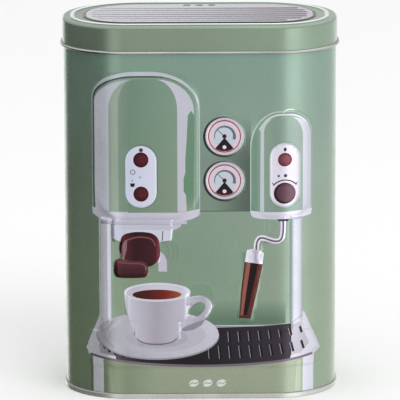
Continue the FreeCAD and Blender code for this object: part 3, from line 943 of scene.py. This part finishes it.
def add_ceiling(skin, height):
    """The lid's underside, which is flat here inside its rounded edge."""
    sheet = Sheet()
    sheet.add(plan_edge(CEILING_REACH), UNPRINTED)
    made, triangles = sheet.cut()
    corners = [skin.point((x, y, height), (0, 0, -1)) for x, y in made]
    for triangle, ink in triangles:
        skin.face([corners[i] for i in reversed(triangle)], [ink(*made[i]) for i in triangle], INNER)


def lid_ink(x, reach, z):
    """The lid's colours outside its grille: printed green, a painted highlight on the raised ring, and the
    grille's black outline.
    """
    if reach < -GRILLE_INSET + 0.35:
        return OUTLINE_INK
    # The raised ring is painted pale as a highlight.
    if abs(reach - RING_REACH) < RING_HIGHLIGHT_HALF_WIDTH:
        return RING_HIGHLIGHT_INK
    return LID(x, z)


def make_lid(printed, bare, inner):
    skin = Skin()
    outside = LID_GAP + SHEET
    shoulder = DECK - LID_ROUND
    ceiling = DECK - SHEET
    curl_centre = LID_GAP + HEM_CURL
    meet = math.degrees(math.acos((outside - curl_centre) / HEM_CURL))
    curl = arc(curl_centre, HEM_HEIGHT, HEM_CURL, HEM_CURL, 180, 360 + meet, 22)
    inner_round = LID_ROUND - SHEET
    inner_edge = arc(LID_GAP - inner_round, shoulder, inner_round, inner_round, 90, 0, 6)
    inside = [(CEILING_REACH, ceiling)] + inner_edge + [(LID_GAP, SKIRT_MIDDLE), curl[0]]
    sweep(skin, inside, UNPRINTED, INNER)
    sweep(skin, curl, UNPRINTED, BARE)
    add_ceiling(skin, ceiling)
    skirt = [curl[-1]] + [(outside, z) for z in np.linspace(curl[-1][1] + 0.3, shoulder - 1, 8)]
    rounded = arc(outside - LID_ROUND, shoulder, LID_ROUND, LID_ROUND, 0, 90, 8)
    ring = arc(RING_REACH, DECK, RING_HALF_WIDTH, RING_RISE, 0, 180, 12)
    deck = [(-2, DECK)] + ring + [(-7.5, DECK), (-9.4, DECK)]
    lip = [(-GRILLE_INSET + 0.3, DECK), (-GRILLE_INSET, DECK + 0.12), (-GRILLE_INSET - 0.1, GRILLE_TOP - 0.1),
           (-GRILLE_INSET - 0.3, GRILLE_TOP), (-GRILLE_INSET - OUTLINE_WIDTH, GRILLE_TOP)]
    sweep(skin, skirt + rounded + deck + lip, lid_ink)
    add_grille(skin)
    lid = skin.build("printed_lid", [printed, bare, inner])
    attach(lid, "lid")
    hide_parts("lid")


# ---------------- materials

class Nodes:
    """A short way to write a node tree. Sockets that share a name are given by number."""

    def __init__(self, owner):
        owner.use_nodes = True
        self.tree = owner.node_tree
        self.tree.nodes.clear()

    def add(self, kind, inputs=(), **settings):
        node = self.tree.nodes.new(kind)
        for name, value in settings.items():
            setattr(node, name, value)
        for name, value in dict(inputs).items():
            if isinstance(value, bpy.types.NodeSocket):
                self.tree.links.new(value, node.inputs[name])
            else:
                node.inputs[name].default_value = value
        return node

    def noise(self, scale, detail, vector):
        made = self.add("ShaderNodeTexNoise", {"Vector": vector, "Scale": scale, "Detail": detail})
        return made.outputs["Fac"]

    def spread(self, value, low, high, from_low=0.3, from_high=0.7):
        made = self.add("ShaderNodeMapRange", {
            "Value": value, "From Min": from_low, "From Max": from_high, "To Min": low, "To Max": high})
        return made.outputs["Result"]


def print_material():
    """Inks under lacquer on tinplate: partly metallic, with faint mottling and orange peel."""
    material = bpy.data.materials.new("printed_tinplate")
    nodes = Nodes(material)
    place = nodes.add("ShaderNodeTexCoord").outputs["Object"]
    ink = nodes.add("ShaderNodeAttribute", attribute_name="ink").outputs["Color"]
    mottle = nodes.spread(nodes.noise(38, 4, place), 0.965, 1.03)
    dots = nodes.spread(nodes.noise(2400, 2, place), 0.985, 1.015)
    tone = nodes.add("ShaderNodeMath", {0: mottle, 1: dots}, operation="MULTIPLY").outputs[0]
    colour = nodes.add("ShaderNodeVectorMath", {0: ink, "Scale": tone}, operation="SCALE").outputs[0]
    rough = nodes.spread(nodes.noise(120, 5, place), 0.24, 0.32)
    peel = nodes.noise(700, 3, place)
    bump = nodes.add("ShaderNodeBump", {"Height": peel, "Strength": 0.015, "Distance": 0.0002}).outputs[0]
    shader = nodes.add("ShaderNodeBsdfPrincipled", {
        "Base Color": colour, "Roughness": rough, "Normal": bump, "Metallic": 0.65,
        "Specular IOR Level": 0.15, "Coat Weight": 0.25, "Coat Roughness": 0.08})
    nodes.add("ShaderNodeOutputMaterial", {"Surface": shader.outputs[0]})
    return material


def tinplate_material(name, dark, light, metallic):
    """Tinplate without print, with the fine grain that rolling leaves."""
    material = bpy.data.materials.new(name)
    nodes = Nodes(material)
    place = nodes.add("ShaderNodeTexCoord").outputs["Object"]
    grain_place = nodes.add("ShaderNodeMapping", {"Vector": place, "Scale": (60, 60, 4000)}).outputs[0]
    grain = nodes.noise(1, 3, grain_place)
    cloud = nodes.noise(45, 4, place)
    shade = nodes.add("ShaderNodeMix", {
        0: nodes.spread(cloud, 0, 1), 6: dark + (1,), 7: light + (1,)}, data_type="RGBA")
    rough = nodes.spread(grain, 0.2, 0.34)
    bump = nodes.add("ShaderNodeBump", {"Height": grain, "Strength": 0.03, "Distance": 0.0001}).outputs[0]
    shader = nodes.add("ShaderNodeBsdfPrincipled", {
        "Base Color": shade.outputs[2], "Roughness": rough, "Normal": bump, "Metallic": metallic})
    nodes.add("ShaderNodeOutputMaterial", {"Surface": shader.outputs[0]})
    return material


# ---------------- studio

CAMERA_PLACE = (-0.0093, -1.9195, 0.5066)
CAMERA_YAW = 0.0048
CAMERA_PITCH = 0.2125
CAMERA_ROLL = -0.0036
CAMERA_LENS = 352.8


def make_camera():
    camera = add_object("camera", bpy.data.cameras.new("camera"))
    camera.data.lens = CAMERA_LENS
    camera.data.sensor_width = 36
    forward = Vector((
        math.sin(CAMERA_YAW) * math.cos(CAMERA_PITCH),
        math.cos(CAMERA_YAW) * math.cos(CAMERA_PITCH),
        -math.sin(CAMERA_PITCH),
    ))
    aim = forward.to_track_quat("-Z", "Y").to_matrix() @ Matrix.Rotation(CAMERA_ROLL, 3, "Z")
    camera.matrix_world = Matrix.Translation(CAMERA_PLACE) @ aim.to_4x4()
    bpy.context.scene.camera = camera


def make_floor():
    size = 6.0
    corners = [(-size, -size, 0), (size, -size, 0), (size, size, 0), (-size, size, 0)]
    mesh = bpy.data.meshes.new("floor")
    mesh.from_pydata(corners, [], [(0, 1, 2, 3)])
    floor = add_object("floor", mesh)
    material = bpy.data.materials.new("floor")
    nodes = Nodes(material)
    shader = nodes.add("ShaderNodeBsdfPrincipled", {"Base Color": (0.93, 0.93, 0.93, 1), "Roughness": 0.9})
    nodes.add("ShaderNodeOutputMaterial", {"Surface": shader.outputs[0]})
    mesh.materials.append(material)
    floor.visible_glossy = False


# What the lacquer mirrors round the tin, by the direction's angle from the front: (degrees, brightness).
SOFT_BOXES = [
    (-180, 1.6), (-150, 1.5), (-143, 0.08), (-52, 0.08), (-40, 0.16), (-35, 0.55), (-31, 1.3), (-16, 1.2),
    (-11, 0.85), (21, 0.9), (27, 2.1), (46, 2.0), (58, 1.4), (80, 1.1), (130, 0.95), (148, 1.2), (180, 1.2),
]
RAMP_TOP = 3.0


def make_world():
    world = bpy.data.worlds.new("studio")
    bpy.context.scene.world = world
    world.cycles.sampling_method = "NONE"
    nodes = Nodes(world)
    way = nodes.add("ShaderNodeTexCoord").outputs["Generated"]
    axes = nodes.add("ShaderNodeSeparateXYZ", {0: way}).outputs
    front = nodes.add("ShaderNodeMath", {0: axes[1], 1: -1.0}, operation="MULTIPLY").outputs[0]
    angle = nodes.add("ShaderNodeMath", {0: axes[0], 1: front}, operation="ARCTAN2").outputs[0]
    share = nodes.spread(angle, 0, 1, -math.pi, math.pi)
    ramp = nodes.add("ShaderNodeValToRGB", {"Fac": share})
    stops = ramp.color_ramp.elements
    for degrees, _ in SOFT_BOXES[1:-1]:
        stops.new((degrees + 180) / 360)
    for stop, (_, light) in zip(stops, SOFT_BOXES):
        stop.color = (light / RAMP_TOP,) * 3 + (1,)
    lift = nodes.spread(axes[2], 0.5 * RAMP_TOP, RAMP_TOP, -0.9, -0.3)
    level = nodes.add("ShaderNodeMath", {0: ramp.outputs[0], 1: lift}, operation="MULTIPLY").outputs[0]
    overhead = nodes.spread(axes[2], 0.62, 1.5, 0.2, 0.75)
    rise = nodes.spread(axes[2], 0, 1, 0, 0.16)
    mirrored = nodes.add("ShaderNodeMix", {0: rise, 2: level, 3: overhead}, data_type="FLOAT").outputs[0]
    rays = nodes.add("ShaderNodeLightPath").outputs
    glossy = nodes.add("ShaderNodeMix", {
        0: rays["Is Glossy Ray"], 2: 0.95, 3: mirrored}, data_type="FLOAT").outputs[0]
    seen = nodes.add("ShaderNodeMix", {
        0: rays["Is Camera Ray"], 2: glossy, 3: 1.0}, data_type="FLOAT").outputs[0]
    background = nodes.add("ShaderNodeBackground", {"Color": (1, 1, 1, 1), "Strength": seen})
    nodes.add("ShaderNodeOutputWorld", {"Surface": background.outputs[0]})


def make_key_light():
    light = bpy.data.lights.new("key", "AREA")
    light.shape = "RECTANGLE"
    light.size, light.size_y = 1.2, 0.8
    light.energy = 9
    lamp = add_object("key", light)
    place = Vector((0.7, -1.1, 1.4))
    lamp.location = place
    lamp.rotation_euler = (Vector((0, 0, 0.1)) - place).to_track_quat("-Z", "Y").to_euler()
    lamp.visible_glossy = False


make_camera()
make_floor()
make_world()
make_key_light()
bpy.context.scene.view_settings.view_transform = "Standard"

printed = print_material()
bare = tinplate_material("bare_tinplate", (0.40, 0.40, 0.385), (0.54, 0.535, 0.515), 1.0)
inner = tinplate_material("inner_tinplate", (0.70, 0.70, 0.68), (0.80, 0.795, 0.77), 0.55)
make_wall(printed, bare, inner)
make_lid(printed, bare, inner)
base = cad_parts["base_plate"]
base.data.materials.clear()
base.data.materials.append(tinplate_material("base_tinplate", (0.46, 0.46, 0.44), (0.60, 0.595, 0.57), 0.7))
